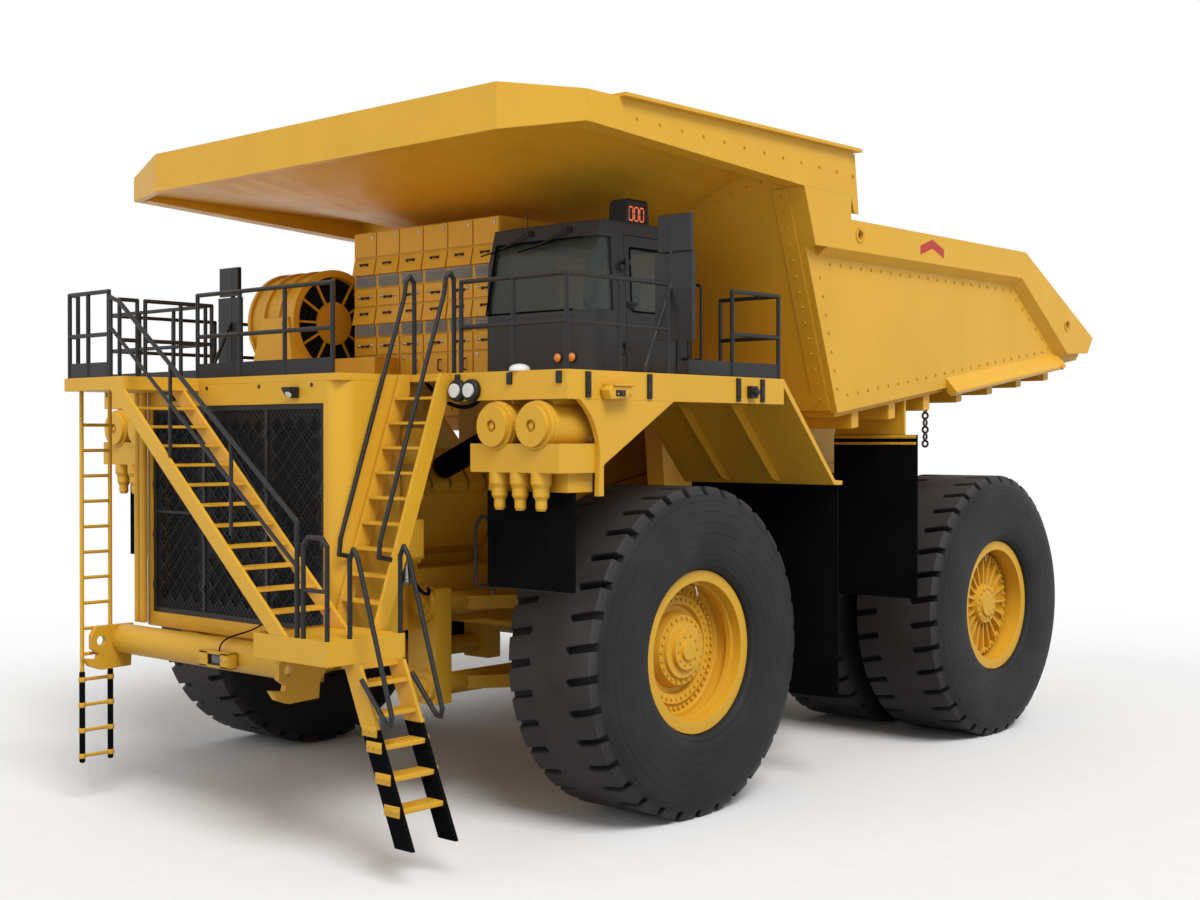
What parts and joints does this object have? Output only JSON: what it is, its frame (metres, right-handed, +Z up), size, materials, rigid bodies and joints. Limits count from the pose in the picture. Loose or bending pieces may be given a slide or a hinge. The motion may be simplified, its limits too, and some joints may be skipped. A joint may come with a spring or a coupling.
{
  "type": "mining dump truck",
  "caption": "Rigid mining haul truck with steered front wheels, twin rear wheels, a cab on a railed deck, front stairs and a hoisted tipping bed with a full-width canopy.",
  "frame": {"origin": "on the ground below the middle of the overall length and width", "axes": "+X forward, +Y to the driver's left, +Z up"},
  "size_m": [14.31, 8.78, 8.05],
  "materials": {
    "yellow_paint": "semi-gloss machine enamel",
    "black_paint": "satin black enamel",
    "flap_rubber": "matte rubber sheet",
    "tyre_rubber": "matte tyre rubber",
    "window_glass": "clear laminated glass",
    "bare_steel": "dull steel",
    "rod_chrome": "polished chrome rod",
    "lamp_lens": "clear lamp lens",
    "cab_trim": "dark grained trim"
  },
  "bodies": {
    "chassis": {"main_frame": "yellow_paint", "front_bumper": "yellow_paint", "radiator_housing": "yellow_paint", "grille": "black_paint", "radiator": "black_paint", "engine": "yellow_paint", "front_arms": "yellow_paint", "struts": "bare_steel", "rear_axle": "yellow_paint", "upper_deck": "yellow_paint", "fenders": "yellow_paint", "deck_rails": "black_paint", "front_stair": "yellow_paint", "cab_stair": "yellow_paint", "landing": "yellow_paint", "boarding_ladder": "flap_rubber", "service_ladder": "yellow_paint", "cab_shell": "black_paint", "cab_glass": "window_glass", "cab_interior": "cab_trim", "cabinets": "yellow_paint", "retarder_grid": "yellow_paint", "air_cleaners": "yellow_paint", "headlamps": "lamp_lens", "displays": "black_paint", "mirrors": "black_paint", "wheel_flaps": "flap_rubber", "side_tanks": "yellow_paint"},
    "bed": {"bed_floor": "yellow_paint", "bed_sides": "yellow_paint", "bed_front": "yellow_paint", "canopy": "yellow_paint", "ejector_chains": "bare_steel", "bed_flaps": "flap_rubber"},
    "barrel_left": {"hoist_barrel_left": "yellow_paint"},
    "barrel_right": {"hoist_barrel_right": "yellow_paint"},
    "rod_left": {"hoist_rod_left": "rod_chrome"},
    "rod_right": {"hoist_rod_right": "rod_chrome"},
    "steered_left": {"knuckle_left": "yellow_paint"},
    "steered_right": {"knuckle_right": "yellow_paint"},
    "steering_link": {"tie_rod": "yellow_paint"},
    "front_wheel_left": {"front_rim_left": "yellow_paint", "front_tyre_left": "tyre_rubber"},
    "front_wheel_right": {"front_rim_right": "yellow_paint", "front_tyre_right": "tyre_rubber"},
    "rear_wheels_left": {"rear_rim_left": "yellow_paint", "rear_tyres_left": "tyre_rubber"},
    "rear_wheels_right": {"rear_rim_right": "yellow_paint", "rear_tyres_right": "tyre_rubber"},
    "door": {"cab_door": "black_paint", "door_glass": "window_glass"},
    "fan": {"blower": "bare_steel"}
  },
  "joints": [
    {"name": "bed_tip", "type": "hinge", "parent": "chassis", "child": "bed", "pos_m": [-5.445, 0, 3.55], "axis": [0, -1, 0], "range_deg": [0, 45]},
    {"name": "hoist_swing_left", "type": "hinge", "parent": "chassis", "child": "barrel_left", "pos_m": [-1.445, 1.3, 2.3], "axis": [0, -1, 0], "range_deg": [0, 6]},
    {"name": "hoist_extend_left", "type": "slide", "parent": "barrel_left", "child": "rod_left", "axis": [-0.5039, 0, 0.8638], "range_m": [0, 2.18]},
    {"name": "hoist_swing_right", "type": "hinge", "parent": "chassis", "child": "barrel_right", "pos_m": [-1.445, -1.3, 2.3], "axis": [0, -1, 0], "range_deg": [0, 6]},
    {"name": "hoist_extend_right", "type": "slide", "parent": "barrel_right", "child": "rod_right", "axis": [-0.5039, 0, 0.8638], "range_m": [0, 2.18]},
    {"name": "steer_left", "type": "hinge", "parent": "chassis", "child": "steered_left", "pos_m": [2.655, 2.9, 1.88], "axis": [0, 0, 1], "range_deg": [-36, 36]},
    {"name": "steer_right", "type": "hinge", "parent": "chassis", "child": "steered_right", "pos_m": [2.655, -2.9, 1.88], "axis": [0, 0, 1], "range_deg": [-36, 36]},
    {"name": "tie_rod_pivot", "type": "hinge", "parent": "steered_left", "child": "steering_link", "pos_m": [2.155, 2.9, 1.89], "axis": [0, 0, 1], "range_deg": [-36, 36]},
    {"name": "front_wheel_spin_left", "type": "hinge", "parent": "steered_left", "child": "front_wheel_left", "pos_m": [2.655, 3.395, 1.88], "axis": [0, 1, 0], "continuous": true},
    {"name": "rear_wheel_spin_left", "type": "hinge", "parent": "chassis", "child": "rear_wheels_left", "pos_m": [-4.205, 3.485, 1.88], "axis": [0, 1, 0], "continuous": true},
    {"name": "front_wheel_spin_right", "type": "hinge", "parent": "steered_right", "child": "front_wheel_right", "pos_m": [2.655, -3.395, 1.88], "axis": [0, 1, 0], "continuous": true},
    {"name": "rear_wheel_spin_right", "type": "hinge", "parent": "chassis", "child": "rear_wheels_right", "pos_m": [-4.205, -3.485, 1.88], "axis": [0, 1, 0], "continuous": true},
    {"name": "door_swing", "type": "hinge", "parent": "chassis", "child": "door", "pos_m": [3.065, 3.245, 5.8], "axis": [0, 0, -1], "range_deg": [0, 80]},
    {"name": "blower_spin", "type": "hinge", "parent": "chassis", "child": "fan", "pos_m": [3.255, -2.26, 5.85], "axis": [0, 1, 0], "continuous": true}
  ],
  "couplings": [
    {"joint": "hoist_swing_left", "follows": "bed_tip", "ratio": 0.13},
    {"joint": "hoist_extend_left", "follows": "bed_tip", "m_per_rad": 2.76},
    {"joint": "hoist_swing_right", "follows": "bed_tip", "ratio": 0.13},
    {"joint": "hoist_extend_right", "follows": "bed_tip", "m_per_rad": 2.76},
    {"joint": "steer_right", "follows": "steer_left", "ratio": 1},
    {"joint": "tie_rod_pivot", "follows": "steer_left", "ratio": -1}
  ]
}
